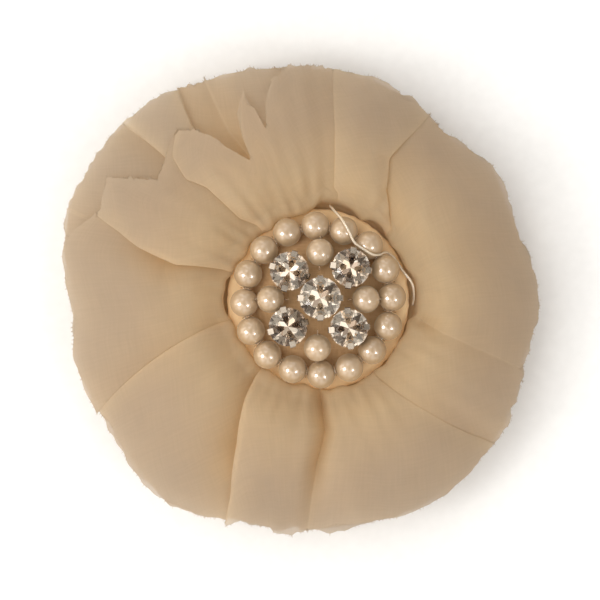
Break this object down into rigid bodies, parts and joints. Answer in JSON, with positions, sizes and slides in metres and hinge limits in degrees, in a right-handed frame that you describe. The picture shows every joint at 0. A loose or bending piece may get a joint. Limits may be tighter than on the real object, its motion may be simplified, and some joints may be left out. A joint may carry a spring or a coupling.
{
  "type": "flower hair clip",
  "caption": "Gathered chiffon flower with a domed centre of pearls and claw-set rhinestones, on a felt backing with a sprung steel jaw clip behind it.",
  "frame": {"origin": "middle of the flower's outline, on the surface that the flower lies on, back down", "axes": "+Z out of the flower's face, +X and +Y to the right and up as the face is looked at; the clip lies along X"},
  "size_m": [0.1016, 0.1005, 0.0315],
  "materials": {
    "clip_steel": "nickel plated, satin",
    "pin_steel": "nickel plated",
    "spring_steel": "drawn wire",
    "hot_glue": "set hot glue, slightly cloudy",
    "felt": "pressed felt",
    "sewing_thread": "sewing thread",
    "chiffon": "sheer chiffon",
    "pad_cloth": "stiffened cloth",
    "nylon": "clear nylon thread",
    "pearl": "pearl lacquer",
    "rhinestone": "cut glass",
    "setting_metal": "bright silver plate"
  },
  "bodies": {
    "flower": {"clip_plate": "clip_steel", "hinge_pin": "pin_steel", "torsion_spring": "spring_steel", "clip_glue": "hot_glue", "felt_backing": "felt", "gather_thread": "sewing_thread", "chiffon_layer_1": "chiffon", "chiffon_layer_2": "chiffon", "chiffon_layer_3": "chiffon", "chiffon_layer_4": "chiffon", "chiffon_layer_5": "chiffon", "centre_glue": "hot_glue", "centre_pad": "pad_cloth", "ring_thread": "nylon", "spoke_threads": "nylon", "loose_thread": "nylon", "outer_pearl_1": "pearl", "outer_pearl_2": "pearl", "outer_pearl_3": "pearl", "outer_pearl_4": "pearl", "outer_pearl_5": "pearl", "outer_pearl_6": "pearl", "outer_pearl_7": "pearl", "outer_pearl_8": "pearl", "outer_pearl_9": "pearl", "outer_pearl_10": "pearl", "outer_pearl_11": "pearl", "outer_pearl_12": "pearl", "outer_pearl_13": "pearl", "outer_pearl_14": "pearl", "outer_pearl_15": "pearl", "outer_pearl_16": "pearl", "inner_pearl_top": "pearl", "inner_pearl_right": "pearl", "inner_pearl_bottom": "pearl", "inner_pearl_left": "pearl", "middle_stone": "rhinestone", "middle_setting": "setting_metal", "upper_left_stone": "rhinestone", "upper_left_setting": "setting_metal", "upper_right_stone": "rhinestone", "upper_right_setting": "setting_metal", "lower_left_stone": "rhinestone", "lower_left_setting": "setting_metal", "lower_right_stone": "rhinestone", "lower_right_setting": "setting_metal"},
    "jaw": {"clip_jaw": "clip_steel"}
  },
  "joints": [
    {"name": "jaw_hinge", "type": "hinge", "parent": "flower", "child": "jaw", "pos_m": [-0.0022, 0, 0.0074], "axis": [0, 1, 0], "range_deg": [0, 24], "stiffness_Nm_per_rad": 0.08, "springref_deg": -34.38, "deforming": ["torsion_spring"]}
  ]
}
